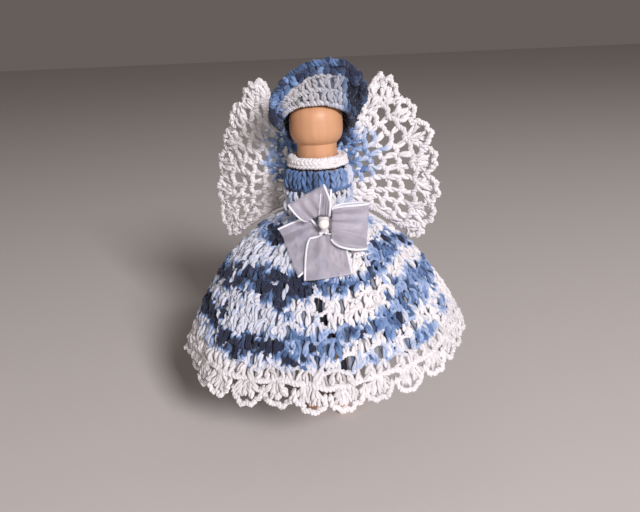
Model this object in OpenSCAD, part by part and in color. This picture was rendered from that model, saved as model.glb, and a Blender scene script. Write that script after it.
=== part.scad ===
// Clothespin doll: a turned wooden doll pin that wears a crocheted dress, a pair of
// crocheted wings, a bonnet and a ribbon bow with a bead. Millimetres.
// The pin's axis is Z, its two feet stand on Z = 0 and the face looks along -Y.

/* [Clothespin] */
// Height of the wooden pin, foot to crown
pin_h = 95.8; // [92:0.1:100]
// Diameter of the pin's round body
pin_d = 14; // [13:0.1:16]
// Diameter of the head
head_d = 15; // [14:0.1:17]
// Height of the head, chin to crown
head_h = 12.6; // [11:0.1:14]
// Diameter of the neck
neck_d = 11.2; // [9.6:0.1:12]
// Height at which the body starts to narrow to the neck
shoulder_z = 68; // [64:0.5:70]
// Height at which the neck starts
neck_z = 78.6; // [77:0.1:79.5]
// Width of the slot between the legs
slot_w = 4.6; // [4.3:0.1:5]
// Height of the top of the slot
slot_h = 52; // [40:1:56]
// Width of the slot at the feet
slot_mouth_w = 7; // [5.2:0.1:8]
// Height up to which the slot flares
slot_flare_h = 16; // [8:1:30]
// Bevel round the feet
foot_bevel = 0.6; // [0.2:0.1:1]

/* [Dress] */
// Thickness of the crocheted fabric
yarn_t = 2.2; // [1.6:0.1:2.4]
// Play between the yarn and the wood
wood_gap = 0.4; // [0.3:0.05:0.6]
// Width of the collar's roll of yarn
collar_w = 2.4; // [2:0.1:2.8]
// Height of the collar's roll of yarn
collar_h = 3.4; // [2.6:0.1:3.6]
// Outer diameter of the yoke over the shoulders
yoke_d = 20.8; // [20.4:0.1:22]
// Height of the yoke's top
yoke_z = 78.2; // [77.4:0.1:78.4]
// Height of the yoke from its top to its free edge
yoke_drop = 6.2; // [5.4:0.1:6.6]
// Outer diameter of the bodice, down to the waist
waist_d = 20; // [19.4:0.1:20.6]
// Height of the waist
waist_z = 65; // [63:0.5:67]
// Outer diameter of the skirt at its lace hem
hem_d = 84.6; // [76:0.5:92]
// Mean height of the hem over the table
hem_z = 24; // [20:0.5:30]
// Height of the lace edge
lace_h = 9.5; // [7:0.5:12]
// Number of scallops round the lace
scallop_count = 28; // [20:4:36]
// Depth of one scallop
scallop_depth = 2.6; // [1.5:0.1:3.5]
// Number of soft folds round the skirt
fold_count = 8; // [4:4:12]
// Depth of a fold at the hem, to each side
fold_depth = 0.8; // [0.2:0.1:1.4]
// Rise of the hem towards +X, and fall towards -X
hem_tilt_h = 2.3; // [0:0.1:3]
// Rise of the hem at both sides, and fall in front and behind
hem_wave_h = 1.4; // [0:0.1:2]

/* [Wings] */
// Reach of a wing from its hinge line, along the fabric
wing_len = 33.2; // [28:0.1:37]
// Height of the lowest corner of a wing
wing_low = 51.2; // [50.4:0.1:54]
// Height of a wing's tip
wing_top = 101.9; // [97:0.1:106]
// Height of the bottom of the seam that holds the wings
wing_root_low = 65.6; // [65.2:0.1:67]
// Height of the top of that seam
wing_root_top = 81.4; // [79:0.1:82.5]
// Distance of each wing's hinge line from the middle of the back
wing_hinge_x = 3.5; // [3:0.1:4.5]
// Slit between a wing and the gathered middle
wing_slit = 0.3; // [0.2:0.05:0.5]
// Angle by which the right-hand wing leaves the back
wing_lead_right = 4; // [0:1:10]
// Angle at its rim, forward if negative
wing_curl_right = -25; // [-30:1:0]
// Angle by which the left-hand wing leaves the back
wing_lead_left = 8; // [0:1:14]
// Angle at its rim
wing_curl_left = 42; // [20:1:55]
// Scallops along a wing's rim
wing_scallops = 8; // [5:1:9]
// Height of one scallop on a wing's rim
wing_scallop_rise = 1.5; // [0.6:0.1:2]
// Rings of gaps in a wing's net
wing_gap_rings = 5; // [3:1:6]

/* [Bonnet] */
// Thickness of the bonnet's fabric
bonnet_t = 2.1; // [1.6:0.1:2.4]
// Tilt of the bonnet's face opening, forward over the brow
bonnet_tilt = 40; // [36:1:42]
// Distance of the crown's edge behind the middle of the head
bonnet_back = 1; // [0.8:0.1:1.4]
// Width of the crown's flat middle, between its two round halves
bonnet_flat_w = 2; // [1:0.1:2.4]
// Radius of the brim's rim, from side to side
brim_r = 12.6; // [11.5:0.1:13]
// Rise of the rim over its middle
brim_h = 11; // [10.4:0.1:12.4]
// Slope of the rim, higher towards +X
brim_slope = 0.17; // [0:0.01:0.2]
// Height of the middle of the rim
brim_z = 95.8; // [95:0.1:97]
// Distance of the middle of the rim towards +X
brim_x = 0.8; // [0:0.1:2]
// Width of the round of yarn along the rim
edging_w = 4; // [3:0.1:4.6]
// Depth of the ruffles along the rim
ruffle_depth = 0.8; // [0.2:0.1:1]
// Number of ruffles along the rim
ruffle_count = 8; // [5:1:10]

/* [Bow] */
// Width of the ribbon
ribbon_w = 12.7; // [11:0.1:14]
// Thickness of the ribbon
ribbon_t = 0.5; // [0.3:0.05:0.6]
// Distance of the knot from the middle of the front, towards +X
bow_x = 0.9; // [-1:0.1:1.5]
// Height of the knot
bow_z = 65.2; // [65:0.1:66]
// Radius of the thread wound round the knot
knot_r = 1.5; // [1.2:0.05:1.7]
// Height of the winding
knot_h = 3; // [2.4:0.1:3.6]
// Turns of thread in the winding
knot_turns = 4; // [3:1:6]
// Depth of a ribbon loop, front to back
loop_pouf = 3; // [2.4:0.1:3.4]
// Reach of the left-hand tail from the knot, seen from the front
tail_left_len = 9.5; // [7:0.1:11]
// Reach of the right-hand tail from the knot, seen from the front
tail_right_len = 8.6; // [7:0.1:10]
// Diameter of the bead
bead_d = 2.8; // [2.4:0.1:3.4]
// Diameter of the hole through the bead
bead_hole_d = 0.8; // [0.6:0.1:1]

/* [Hidden] */
$fn = 64;

// How far a cut runs past the face that it opens
overrun = 1;
// Air between two soft pieces that are sewn or worked together
seam_gap = 0.2;
// Air between two soft pieces that move past each other
move_gap = 0.35;

wood = [0.84, 0.64, 0.44];
cream = [0.93, 0.90, 0.86];
blue = [0.38, 0.53, 0.72];
pale_blue = [0.58, 0.68, 0.82];
organza = [0.80, 0.79, 0.86];
pearl = [0.97, 0.94, 0.88];

pin_r = pin_d / 2;
neck_r = neck_d / 2;
head_r = head_d / 2;
head_z = pin_h - head_h / 2;
yoke_r = yoke_d / 2;
waist_r = waist_d / 2;
hem_r = hem_d / 2;

// How square the head's outline is: 2 is an ellipse
head_square = 3;
// Steps along the outline of the head and the shoulder
turn_steps = 12;

// The yoke's outside, as shares of its radius and of its height from the top
yoke_shares = [[0.6, 0], [0.78, 0.12], [0.91, 0.3], [0.98, 0.5], [1, 0.72], [0.985, 1]];
// The skirt's bell, as shares of the way from waist to hem, out and down
bell_shares = [
    [0, 0], [0.1, 0.035], [0.248, 0.115], [0.461, 0.25], [0.616, 0.4],
    [0.749, 0.56], [0.864, 0.73], [0.935, 0.85], [1, 1]
];
// How soon the folds and the hem's rise start below the waist: higher is later
fold_start = 2;

// A wing's rim from its tip down to its low corner, as shares of its reach and of its
// height from the low corner
wing_rim_right_shares = [
    [0.39, 0.94], [0.52, 1], [0.66, 0.88], [0.84, 0.75], [0.96, 0.58],
    [1, 0.41], [0.99, 0.22], [0.89, 0.06], [0.78, 0]
];
wing_rim_left_shares = [
    [0.31, 0.95], [0.42, 0.99], [0.6, 0.88], [0.78, 0.74], [0.91, 0.58],
    [0.99, 0.4], [1.01, 0.2], [0.95, 0.04], [0.82, 0]
];
// Where the two side edges of a wing bend, as shares of its reach and of its height
wing_bend_top_share = [0.26, 0.66];
wing_bend_low_share = [0.4, 0.24];
// Shares of the reach between which a wing curls
wing_curl_right_share = [0.4, 1.05];
wing_curl_left_share = [0.26, 0.6];
// Share of the reach that is solid fabric beside the hinge line
wing_solid_share = 0.26;
// Columns of gaps in each scallop
gaps_per_scallop = 2;
// Steps in which a wing's plan is added up
plan_steps = 12;
// How close to the rim a wing's scallops start: higher is closer
scallop_start = 8;

// Samples along one scallop of the lace
scallop_steps = 6;
// Samples down the skirt
bell_steps = 9;
// Samples along one fold of the skirt
fold_steps = 6;

// Angles round the rim's middle at which the brim starts and ends
rim_angles = [-2, 202];
// Angles round the face between which its inner edge runs
face_angles = [-10, 190];
// How far the rim leans forward for each millimetre of height
brim_lean = 0.37;
brim_steps = 40;
// How close to the rim its ruffles start: higher is closer
ruffle_start = 3;
// The least share of the brim that the round of yarn along its rim takes
edging_least_share = 0.45;
// How much further forward of the crown the brim starts at the top than at the sides
brim_forward = 0.9;

// Ribbon loops: direction, length and width as a share of the ribbon's width
loop_left_angle = 124;
loop_left_len = 6.6;
loop_left_share = 0.76;
loop_top_angle = 84;
loop_top_len = 7.2;
loop_top_share = 0.2;
loop_right_angle = 2;
loop_right_len = 10.4;
loop_right_share = 0.86;
// Lean of the bow's upper half away from the bodice for each millimetre of height
bow_lean = 0.2;
// Air between the ribbon tails and the skirt
tail_gap = 0.6;
// Air between the middle of the ribbon loops and the skirt
loop_gap = 2.4;
// Direction of the middle of each tail, and the part of its width that shows in front
tail_left_angle = 211;
tail_left_share = 0.81;
tail_right_angle = 273;
tail_right_share = 0.96;
// How fast a loop and a tail widen from the knot: lower is faster
loop_spread = 0.35;
tail_spread = 0.3;
// Share of a loop's ribbon that is inside the knot at each end
loop_hidden_share = 0.06;
ribbon_steps = 12;

function lerp(a, b, t) = a + (b - a) * t;
function clamp01(t) = min(1, max(0, t));
function smooth(t) = let (c = clamp01(t)) c * c * (3 - 2 * c);
function flat(rows) = [for (row = rows) each row];
function back_to_front(list) = [for (i = [len(list) - 1:-1:0]) list[i]];

// A smooth curve through a table's points: t runs from 0 at the first to 1 at the last
function through(table, t) =
    let (
        last = len(table) - 1,
        at = clamp01(t) * last,
        i = min(last - 1, floor(at)),
        f = at - i,
        p0 = table[max(0, i - 1)],
        p1 = table[i],
        p2 = table[i + 1],
        p3 = table[min(last, i + 2)]
    )
    p1 + (p2 - p0) * f / 2 + (2 * p0 - 5 * p1 + 4 * p2 - p3) * f * f / 2
    + (3 * p1 - p0 - 3 * p2 + p3) * f * f * f / 2;

// The same outline, moved by t to its right-hand side
function beside(line, t) = [
    for (i = [0:len(line) - 1])
        let (
            a = line[max(0, i - 1)],
            b = line[min(len(line) - 1, i + 1)],
            along = (b - a) / norm(b - a)
        )
        line[i] + t * [along[1], -along[0]]
];

// A closed slab with rows of points on its front and its back. Seen from the front, the
// rows follow each other down and the points of a row run to the right.
// gap(i, j) says which cells of the slab are open.
module slab(front, back, wrap = false, gap = function(i, j) false) {
    rows = len(front);
    cols = len(front[0]);
    cells = wrap ? cols : cols - 1;
    index = function(i, j, side) side * rows * cols + i * cols + (j + cols) % cols;
    shut = function(i, j)
        i >= 0 && i < rows - 1 && (wrap || (j >= 0 && j < cells))
        && !gap(i, (j + cells) % cells);
    quads = [
        for (i = [0:rows - 2], j = [0:cells - 1])
            if (shut(i, j))
                let (
                    f = [index(i, j, 0), index(i, j + 1, 0), index(i + 1, j + 1, 0), index(i + 1, j, 0)],
                    b = [index(i, j, 1), index(i, j + 1, 1), index(i + 1, j + 1, 1), index(i + 1, j, 1)],
                    open = [!shut(i - 1, j), !shut(i, j + 1), !shut(i + 1, j), !shut(i, j - 1)]
                )
                each [
                    f,
                    [b[3], b[2], b[1], b[0]],
                    for (e = [0:3])
                        if (open[e])
                            [f[(e + 1) % 4], f[e], b[e], b[(e + 1) % 4]]
                ]
    ];
    faces = [for (q = quads) each [[q[0], q[1], q[2]], [q[0], q[2], q[3]]]];
    polyhedron(concat(flat(front), flat(back)), faces, convexity = 8);
}

// Half of the head's outline, from chin to crown
function head_outline() = [
    for (i = [0:2 * turn_steps])
        let (
            a = lerp(-90, 90, i / (2 * turn_steps)),
            k = 2 / head_square
        )
        [
            head_r * pow(abs(cos(a)), k),
            head_z + head_h / 2 * sign(a) * pow(abs(sin(a)), k)
        ]
];

// The pin's radius between shoulder and neck
function shoulder_r(z) = lerp(pin_r, neck_r, smooth((z - shoulder_z) / (neck_z - shoulder_z)));

function body_outline() = concat(
    [[0, 0], [pin_r - foot_bevel, 0], [pin_r, foot_bevel]],
    [
        for (i = [0:turn_steps])
            let (z = lerp(shoulder_z, neck_z, i / turn_steps))
            [shoulder_r(z), z]
    ],
    [[neck_r, head_z], [0, head_z]]
);

module clothespin() {
    color(wood)
    difference() {
        rotate_extrude()
        union() {
            polygon(body_outline());
            polygon(head_outline());
        }
        rotate([90, 0, 0])
        linear_extrude(2 * pin_d, center = true)
        union() {
            polygon([
                [-slot_mouth_w / 2, -overrun],
                [slot_mouth_w / 2, -overrun],
                [slot_mouth_w / 2, 0],
                [slot_w / 2, slot_flare_h],
                [slot_w / 2, slot_h - slot_w / 2],
                [-slot_w / 2, slot_h - slot_w / 2],
                [-slot_w / 2, slot_flare_h],
                [-slot_mouth_w / 2, 0]
            ]);
            translate([0, slot_h - slot_w / 2])
            circle(slot_w / 2);
        }
    }
}

// The collar's roll stands round the neck, with its foot inside the yoke's top
collar_low = yoke_z - yarn_t / 4;
collar_in = shoulder_r(collar_low) + wood_gap;

module collar() {
    color(cream)
    rotate_extrude()
    polygon([
        for (i = [0:2 * turn_steps - 1])
            let (a = 180 * i / turn_steps)
            [
                collar_in + collar_w / 2 * (1 + cos(a)),
                collar_low + collar_h / 2 * (1 + sin(a))
            ]
    ]);
}

// The yoke's first round meets the collar's outer side
yoke_in = collar_in + collar_w + seam_gap;
yoke_top_line = [
    for (i = [0:turn_steps])
        let (s = through(yoke_shares, i / turn_steps))
        [
            yoke_in + (yoke_r - yoke_in) * (s[0] - yoke_shares[0][0]) / (1 - yoke_shares[0][0]),
            yoke_z - yoke_drop * s[1]
        ]
];

module yoke() {
    color(blue)
    rotate_extrude()
    polygon(concat(yoke_top_line, back_to_front(beside(yoke_top_line, yarn_t))));
}

// The bell's outside at a share t of its way from the waist to the hem
function bell(t) =
    let (s = through(bell_shares, t))
    [lerp(waist_r, hem_r, s[0]), lerp(waist_z, hem_z, s[1])];

// The bodice reaches up to the yoke's free edge
bodice_top = yoke_z - yoke_drop - seam_gap;
bell_table = [
    for (i = [0:4 * turn_steps])
        let (p = bell(i / (4 * turn_steps)))
        [-p[1], p[0]]
];
function bell_r(z) = z > waist_z ? waist_r : lookup(-z, bell_table);

// Share of the bell at which the lace starts
lace_share = let (
        steps = 100,
        near = [for (i = [0:steps]) if (bell(i / steps)[1] > hem_z + lace_h) i / steps]
    )
    near[len(near) - 1];

// A point of the skirt, with its folds and the rise of its hem, at an angle round the pin
function hung(p, a) =
    let (
        k = pow(clamp01((waist_z - p[1]) / (waist_z - hem_z)), fold_start),
        r = p[0] + fold_depth * k * cos(fold_count * a),
        z = p[1] + k * (hem_tilt_h * cos(a) + hem_wave_h * cos(2 * a))
    )
    [r * cos(a), r * sin(a), z];

skirt_line = concat(
    [[waist_r, bodice_top], [waist_r, lerp(waist_z, bodice_top, 0.5)]],
    [for (i = [0:bell_steps]) bell(lerp(0, lace_share, i / bell_steps))]
);

module skirt() {
    cols = fold_count * fold_steps;
    inside = beside(skirt_line, yarn_t);
    color(pale_blue)
    slab(
        [for (p = skirt_line) [for (j = [0:cols - 1]) hung(p, 360 * j / cols)]],
        [for (p = inside) [for (j = [0:cols - 1]) hung(p, 360 * j / cols)]],
        wrap = true
    );
}

module hem_lace() {
    cols = scallop_count * scallop_steps;
    start = lace_share + seam_gap / norm(bell(1) - bell(0));
    line = [for (i = [0:2]) bell(lerp(start, 1, i / 2))];
    inside = beside(line, yarn_t);
    rise = function(i, a) i < 2 ? 0 : scallop_depth * (1 - abs(sin(scallop_count / 2 * a)));
    lace = function(rows) [
        for (i = [0:2])
            [for (j = [0:cols - 1]) let (a = 360 * j / cols) hung(rows[i], a) + [0, 0, rise(i, a)]]
    ];
    color(cream)
    slab(lace(line), lace(inside), wrap = true);
}

// The wings lie close behind the yoke
wing_y = max(yoke_r, waist_r) + move_gap + yarn_t / 2;

// Direction of a wing's fabric in plan, at a distance s from its hinge line
function plan_angle(s, lead, curl, share) =
    lerp(lead, curl, smooth((s / wing_len - share[0]) / (share[1] - share[0])));

// Place in plan and direction there
function plan(s, lead, curl, share) =
    let (
        step = s / plan_steps,
        turns = [for (i = [0:plan_steps - 1]) plan_angle((i + 0.5) * step, lead, curl, share)]
    )
    [
        step * [for (a = turns) 1] * [for (a = turns) cos(a)],
        step * [for (a = turns) 1] * [for (a = turns) sin(a)],
        plan_angle(s, lead, curl, share)
    ];

// A point of a wing in the flat: u runs from the hinge line to the rim, v from tip to corner
function wing_flat(u, v, rim_shares) =
    let (
        height = wing_top - wing_low,
        rim_share = through(rim_shares, v),
        rim = [wing_len * rim_share[0], wing_low + height * rim_share[1]],
        root = [0, lerp(wing_root_top, wing_root_low, v)],
        bend_share = lerp(wing_bend_top_share, wing_bend_low_share, v),
        bend = [wing_len * bend_share[0], wing_low + height * bend_share[1]],
        bump = wing_scallop_rise * abs(sin(180 * wing_scallops * v)) * pow(u, scallop_start)
    )
    pow(1 - u, 2) * root + 2 * u * (1 - u) * bend + u * u * rim
    + bump * (rim - bend) / norm(rim - bend);

module wing(side, rim_shares, lead, curl, share) {
    cols = wing_scallops * gaps_per_scallop * 2 + 1;
    rings = wing_gap_rings * 2 + 2;
    rib_share = 0.5;
    // the ribs between the gaps take half of each column and each ring
    v_at = function(j)
        clamp01(
            (floor(j / 2) + (j % 2) * rib_share)
            / (wing_scallops * gaps_per_scallop + rib_share)
        );
    u_at = function(i) i == 0 ? 0 : lerp(wing_solid_share, 1, (i - 1) / (rings - 1));
    place = function(i, j, off)
        let (
            p = wing_flat(u_at(i), v_at(j), rim_shares),
            q = plan(p[0], lead, curl, share),
            x = wing_hinge_x + wing_slit + q[0] - off * sin(q[2]),
            y = wing_y + q[1] + off * cos(q[2])
        )
        [side * x, y, p[1]];
    sheet = function(off) [for (i = [0:rings]) [for (j = [0:cols]) place(i, j, off)]];
    slab(
        sheet(side * yarn_t / 2),
        sheet(-side * yarn_t / 2),
        gap = function(i, j) i > 0 && i < rings - 1 && i % 2 == 1 && j % 2 == 1
    );
}

module wing_left() {
    color(cream)
    wing(-1, wing_rim_left_shares, wing_lead_left, wing_curl_left, wing_curl_left_share);
}

module wing_right() {
    color(cream)
    wing(1, wing_rim_right_shares, wing_lead_right, wing_curl_right, wing_curl_right_share);
}

module wing_center() {
    half = wing_hinge_x - yarn_t / 2;
    color(cream)
    translate([0, wing_y, wing_root_low])
    linear_extrude(wing_root_top - wing_root_low)
    union() {
        square([2 * half, yarn_t], center = true);
        translate([-half, 0])
        circle(yarn_t / 2);
        translate([half, 0])
        circle(yarn_t / 2);
    }
}

// Three short stitches of yarn across the back of the gathered middle
stitch_r = yarn_t / 4;
stitch_count = 3;

module wing_stitches() {
    color(cream)
    for (i = [1:stitch_count])
        translate([
            0,
            wing_y + yarn_t / 2 + stitch_r,
            lerp(wing_root_low, wing_root_top, i / (stitch_count + 1))
        ])
        rotate([0, 90, 0])
        union() {
            cylinder(h = wing_hinge_x, r = stitch_r, center = true);
            translate([0, 0, -wing_hinge_x / 2])
            sphere(stitch_r);
            translate([0, 0, wing_hinge_x / 2])
            sphere(stitch_r);
        }
}

// The bonnet's crown is most of half a ball round the back and top of the head, a little
// wider than it is high
// Distance of the head's farthest corner from its middle
head_reach = max([for (p = head_outline()) norm(p - [0, head_z])]);
bonnet_in = head_reach + wood_gap;
bonnet_out = bonnet_in + bonnet_t;

// A quarter ring, the crown's thickness from its edge to the middle of its back
module crown_section() {
    difference() {
        intersection() {
            circle(bonnet_out);
            translate([0, bonnet_back])
            square([bonnet_out, bonnet_out]);
        }
        circle(bonnet_in);
    }
}

module bonnet_crown() {
    color(blue)
    translate([0, 0, head_z])
    rotate([bonnet_tilt - 90, 0, 0])
    union() {
        for (side = [-1, 1])
            translate([side * bonnet_flat_w / 2, 0, 0])
            rotate([0, 0, -90 * side])
            rotate_extrude(angle = 180)
            crown_section();
        rotate([90, 0, 90])
        linear_extrude(bonnet_flat_w, center = true)
        union() {
            crown_section();
            mirror([1, 0])
            crown_section();
        }
    }
}

// A point of the edge of the face opening, at an angle round the face
function face_edge(a, r) =
    [
        r * cos(a) + bonnet_flat_w / 2 * max(-1, min(1, 3 * cos(a))),
        -r * sin(a) * sin(bonnet_tilt),
        head_z + r * sin(a) * cos(bonnet_tilt)
    ];

// A point of the brim's rim
function rim_edge(a) =
    let (z = brim_z + brim_h * sin(a) + brim_slope * brim_r * cos(a))
    [brim_x + brim_r * cos(a), -bonnet_t - brim_lean * (z - head_z + bonnet_t), z];

// A point of the brim: s runs along it from one side of the face to the other, and t runs
// from the edge of the crown, clear of the head, to the rim
function brim_point(s, t) =
    let (
        a = lerp(face_angles[0], face_angles[1], s),
        ahead = bonnet_t / 2 + seam_gap - bonnet_back + brim_forward * max(0, sin(a)),
        foot = face_edge(a, bonnet_in + bonnet_t / 2)
            - ahead * [0, cos(bonnet_tilt), sin(bonnet_tilt)],
        rim = rim_edge(lerp(rim_angles[0], rim_angles[1], s))
    )
    lerp(foot, rim, t);

// Where the round of yarn along the rim starts, as a share of the brim's width there
function edging_start(s) =
    max(edging_least_share, 1 - edging_w / norm(brim_point(s, 1) - brim_point(s, 0)));

// The brim between two shares of its width, each a function of the place along it
module brim_band(from, to, steps) {
    wave = function(s, t)
        ruffle_depth * pow(t, ruffle_start) * cos(360 * ruffle_count * s);
    skin = function(off) [
        for (i = [steps:-1:0])
            [
                for (j = [brim_steps:-1:0])
                    let (
                        s = j / brim_steps,
                        t = lerp(from(s), to(s), i / steps)
                    )
                    brim_point(s, t) + [0, off + wave(s, t), 0]
            ]
    ];
    slab(skin(-bonnet_t / 2), skin(bonnet_t / 2));
}

module bonnet_brim() {
    color(cream)
    brim_band(function(s) 0, function(s) edging_start(s) - seam_gap / edging_w, 3);
}

module bonnet_edging() {
    color(blue)
    brim_band(function(s) edging_start(s), function(s) 1, 2);
}

// The bell's radius where the knot's winding reaches lowest, which carries the bow
bow_r = bell_r(bow_z - knot_h / 2);
knot_y = -(bow_r + move_gap + knot_r);

// Where the ribbon lies in front of the dress, at a distance x from the middle and a height z
function bow_y(x, z, gap) =
    -(max(bow_r, sqrt(max(0, pow(bell_r(z), 2) - x * x))) + gap)
    - (z > bow_z ? bow_lean * (z - bow_z) : 0);

// One loop of ribbon: out from the knot, round and back
module ribbon_loop(angle, length, share) {
    step = 1 / 100;
    start = knot_r * abs(cos(angle)) + knot_h / 2 * abs(sin(angle)) + seam_gap;
    path = function(q) [length * (1 - cos(360 * q)) / 2, -loop_pouf / 2 * sin(360 * q)];
    width = function(q)
        lerp(knot_h, ribbon_w * share, pow(path(q)[0] / length, loop_spread));
    place = function(q, side, off)
        let (
            p = path(q),
            ahead = path(q + step) - path(q - step),
            n = [-ahead[1], ahead[0]] / norm(ahead),
            along = start + p[0] + off * n[0],
            depth = p[1] + off * n[1],
            x = bow_x + along * cos(angle) - side * width(q) / 2 * sin(angle),
            z = bow_z + along * sin(angle) + side * width(q) / 2 * cos(angle)
        )
        [x, bow_y(x, z, loop_gap) + depth, z];
    skin = function(off) [
        for (i = [0:ribbon_steps])
            let (q = lerp(loop_hidden_share, 1 - loop_hidden_share, i / ribbon_steps))
            [for (side = [-1, 0, 1]) place(q, side, off)]
    ];
    slab(skin(-ribbon_t / 2), skin(ribbon_t / 2));
}

module bow_loops() {
    color(organza)
    union() {
        ribbon_loop(loop_left_angle, loop_left_len, loop_left_share);
        ribbon_loop(loop_top_angle, loop_top_len, loop_top_share);
        ribbon_loop(loop_right_angle, loop_right_len, loop_right_share);
    }
}

// One tail of ribbon, from the knot down over the skirt to its cut end
module ribbon_tail(angle, length, share, lift) {
    place = function(t, side, off)
        let (
            along = knot_r + seam_gap + length * t,
            w = lerp(knot_h / 2, ribbon_w * share, pow(t, tail_spread)) / 2,
            x = bow_x + along * cos(angle) - side * w * sin(angle),
            z = bow_z - knot_h / 2 + along * sin(angle) + side * w * cos(angle)
        )
        [x, bow_y(x, z, tail_gap + lift) - off, z];
    skin = function(off) [
        for (i = [0:ribbon_steps / 2])
            [for (side = [-1, 0, 1]) place(2 * i / ribbon_steps, side, off)]
    ];
    slab(skin(ribbon_t), skin(0));
}

module bow_tails() {
    color(organza)
    union() {
        ribbon_tail(tail_left_angle, tail_left_len, tail_left_share, 0);
        ribbon_tail(tail_right_angle, tail_right_len, tail_right_share, ribbon_t + seam_gap);
    }
}

module bow_thread() {
    turn_h = knot_h / knot_turns;
    color(cream)
    translate([bow_x, knot_y, bow_z - knot_h / 2])
    union() {
        cylinder(h = knot_h, r = knot_r - turn_h / 2);
        for (i = [0:knot_turns - 1])
            translate([0, 0, (i + 0.5) * turn_h])
            rotate_extrude()
            translate([knot_r - turn_h / 2, 0])
            circle(turn_h / 2);
    }
}

module pearl_bead() {
    color(pearl)
    translate([bow_x, knot_y - knot_r - bead_d / 2, bow_z])
    rotate([0, 90, 0])
    rotate_extrude()
    difference() {
        circle(bead_d / 2);
        translate([-bead_d, -bead_d])
        square([bead_d + bead_hole_d / 2, 2 * bead_d]);
    }
}

clothespin();
collar();
yoke();
skirt();
hem_lace();
wing_center();
wing_stitches();
wing_left();
wing_right();
bonnet_crown();
bonnet_brim();
bonnet_edging();
bow_loops();
bow_tails();
bow_thread();
pearl_bead();
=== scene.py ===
"""The looks of the clothespin doll: crochet worked stitch by stitch, ribbon, pearl and wood.

Lengths in this script are millimetres until a mesh is made. Angles round the doll are
measured as in the frame, from +X towards +Y, so the front is at -90 degrees.
"""

import bpy
import numpy as np
from mathutils import Matrix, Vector
from numpy import cos, sin


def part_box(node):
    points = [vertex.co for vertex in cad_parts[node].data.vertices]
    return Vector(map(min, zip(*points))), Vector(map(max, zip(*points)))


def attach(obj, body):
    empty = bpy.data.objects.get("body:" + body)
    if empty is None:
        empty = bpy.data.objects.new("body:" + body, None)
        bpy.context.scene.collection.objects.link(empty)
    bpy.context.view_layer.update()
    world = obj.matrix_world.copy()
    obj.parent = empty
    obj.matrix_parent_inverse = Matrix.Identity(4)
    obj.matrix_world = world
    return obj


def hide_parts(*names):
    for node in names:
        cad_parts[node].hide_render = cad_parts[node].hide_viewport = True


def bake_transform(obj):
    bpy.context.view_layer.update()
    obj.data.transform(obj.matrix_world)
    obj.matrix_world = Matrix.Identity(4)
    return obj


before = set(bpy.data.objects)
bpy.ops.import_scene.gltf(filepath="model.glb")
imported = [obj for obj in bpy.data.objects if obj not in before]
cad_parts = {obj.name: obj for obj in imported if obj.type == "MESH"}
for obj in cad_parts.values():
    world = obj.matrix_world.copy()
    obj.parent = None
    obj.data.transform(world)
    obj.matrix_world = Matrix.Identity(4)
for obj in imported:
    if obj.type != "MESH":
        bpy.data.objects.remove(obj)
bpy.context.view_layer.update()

MM = 0.001
TAU = 2 * np.pi
FRONT = -np.pi / 2
across, forwards = np.array([1.0, 0, 0]), np.array([0, -1.0, 0])
rng = np.random.default_rng(7)


def low(node):
    """The lowest corner of a node's box, in millimetres."""
    return np.array(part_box(node)[0]) / MM


def high(node):
    """The highest corner of a node's box, in millimetres."""
    return np.array(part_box(node)[1]) / MM


# Sizes of the pin, the dress and the yarn
pin_top = high("clothespin")[2]
head_h = 12.6
head_z = pin_top - head_h / 2
yarn_t = 2.2
yarn_r = 0.52
seam_gap = 0.2
move_gap = 0.35
collar_low, collar_top = low("collar")[2], high("collar")[2]
collar_out = high("collar")[0]
collar_w = 2.4
yoke_r = high("yoke")[0]
yoke_z = 78.2
yoke_drop = 6.2
waist_r = 10.0
waist_z = 65.0
bodice_z = yoke_z - yoke_drop - seam_gap
hem_r = 42.3
hem_z = 24.0
lace_h = 9.5
fold_count, fold_depth = 8, 0.8
hem_tilt, hem_wave = 2.3, 1.4

# Counts of stitches
columns = 28
skirt_rounds = 14
seam_turn = 93.0


def lerp(a, b, t):
    return a + (b - a) * t


def smooth(t):
    t = np.clip(t, 0, 1)
    return t * t * (3 - 2 * t)


def unit(v):
    return v / np.maximum(np.linalg.norm(v, axis=-1, keepdims=True), 1e-9)


def alike(*values):
    """Arrays of one shape."""
    return np.broadcast_arrays(*(np.asarray(value, float) for value in values))


def at(*values):
    """Places from their coordinates, any of which may be a single value."""
    return np.stack(alike(*values), -1)


def ring(count, first=0.0, shift=0.0):
    """Angles once round, evenly spread."""
    return first + TAU * (np.arange(count) + shift) / count


def through(table, t):
    """A smooth curve through a table's points, for t from 0 to 1."""
    table = np.asarray(table, float)
    last = len(table) - 1
    place = np.clip(np.asarray(t, float), 0, 1) * last
    i = np.minimum(last - 1, place.astype(int))
    f = (place - i)[..., None] if table.ndim > 1 else place - i
    p0, p1 = table[np.maximum(0, i - 1)], table[i]
    p2, p3 = table[i + 1], table[np.minimum(last, i + 2)]
    return (
        p1
        + (p2 - p0) * f / 2
        + (2 * p0 - 5 * p1 + 4 * p2 - p3) * f * f / 2
        + (3 * p1 - p0 - 3 * p2 + p3) * f**3 / 2
    )


# Surfaces that the yarn follows. Each takes u along a round, v the way the work grows and
# w outwards, and returns points and the outward directions there.


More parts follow.
